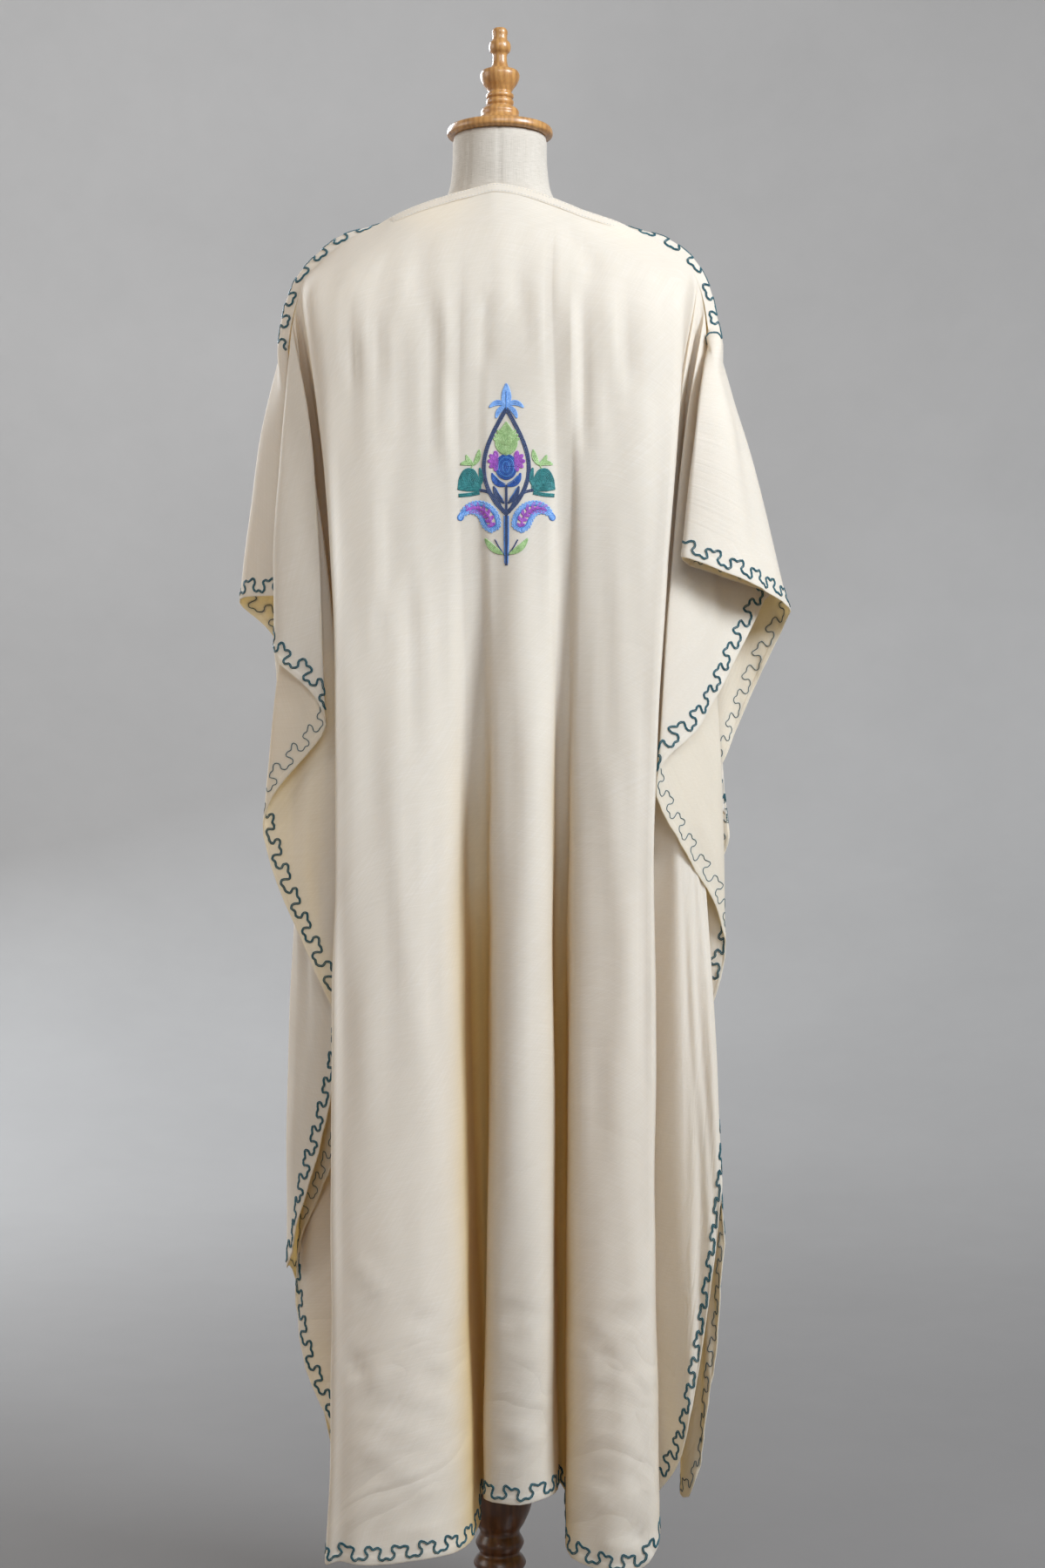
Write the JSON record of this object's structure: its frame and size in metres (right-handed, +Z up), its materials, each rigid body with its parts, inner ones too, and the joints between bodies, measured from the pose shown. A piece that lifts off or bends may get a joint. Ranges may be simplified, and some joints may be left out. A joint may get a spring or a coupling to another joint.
{
  "type": "kaftan on a dress form stand",
  "caption": "Ankle-length kaftan of two wide panels with a bordered edge and a motif on the back, draped on a limbless dress form with a turned wooden stand.",
  "frame": {"origin": "on the floor under the middle of the bounding box; the stand's axis is at x = -12.5 mm, y = 0", "axes": "+Z up, +Y the way the wearer's front faces, +X to the wearer's right"},
  "size_m": [0.594, 0.374, 1.8042],
  "materials": {
    "kaftan_cloth": "plain-weave crepe with a soft sheen",
    "form_linen": "stretched plain linen, matt",
    "light_wood": "turned and clear varnished",
    "dark_wood": "turned, stained dark and varnished"
  },
  "bodies": {
    "root": {"kaftan_back_panel": "kaftan_cloth", "kaftan_front_panel": "kaftan_cloth", "kaftan_neck_binding": "kaftan_cloth", "form_torso": "form_linen", "stand_neck_cap": "light_wood", "stand_post": "dark_wood", "stand_base": "dark_wood"}
  },
  "joints": []
}
